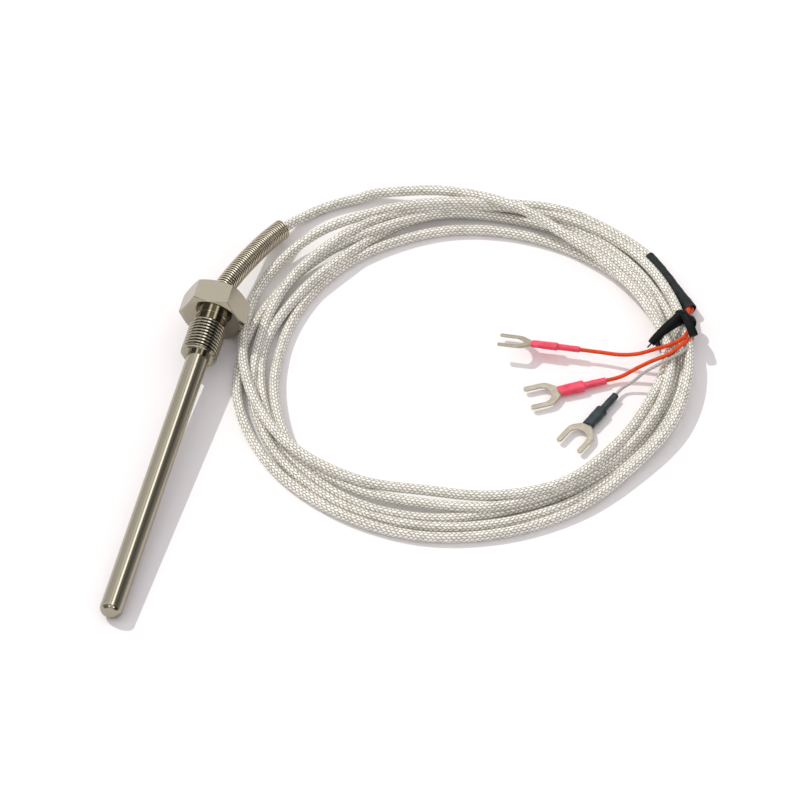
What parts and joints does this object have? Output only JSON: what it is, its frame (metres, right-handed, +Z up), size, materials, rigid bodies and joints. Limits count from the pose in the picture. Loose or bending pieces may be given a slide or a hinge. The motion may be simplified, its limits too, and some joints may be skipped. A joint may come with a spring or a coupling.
{
  "type": "screw-in resistance temperature probe with lead cable",
  "caption": "Closed steel probe tube with a threaded hexagon fitting, a spring strain relief and a coiled braided cable that ends in fork terminals.",
  "frame": {"origin": "on the surface the part lies on, below the middle of the rigid probe (tube and fitting)", "axes": "+Y along the probe in plan, from its tip towards the cable; +X towards the side on which the cable is coiled; +Z up"},
  "size_m": [0.1363, 0.1645, 0.0164],
  "materials": {
    "steel": "polished, turned",
    "spring_steel": "drawn wire",
    "ceramic": "matt",
    "powder": "packed powder",
    "nickel": "drawn wire",
    "epoxy": "cast",
    "cable_braid": "tinned braid under a clear jacket",
    "black_shrink": "shrink tubing",
    "black_tie": "ribbed strip",
    "orange_lead": "smooth",
    "clear_lead": "clear over stranded wire",
    "tinned_metal": "satin tin plate",
    "red_shrink": "shrink tubing"
  },
  "bodies": {
    "root": {"protection_tube": "steel", "hex_fitting": "steel", "sensing_element": "ceramic", "insulator_core": "ceramic", "core_wire_1": "nickel", "core_wire_2": "nickel", "core_wire_3": "nickel", "powder_fill": "powder", "potting_plug": "epoxy", "strain_relief_spring": "spring_steel", "cable_lead_in": "cable_braid", "cable_coil": "cable_braid", "cable_tail": "cable_braid", "cable_end_boot": "black_shrink", "twist_tie": "black_tie", "lead_orange_1": "orange_lead", "lead_orange_2": "orange_lead", "lead_clear": "clear_lead", "fork_terminal_1": "tinned_metal", "fork_terminal_2": "tinned_metal", "fork_terminal_3": "tinned_metal", "sleeve_red_1": "red_shrink", "sleeve_red_2": "red_shrink", "sleeve_black": "black_shrink"}
  },
  "joints": []
}
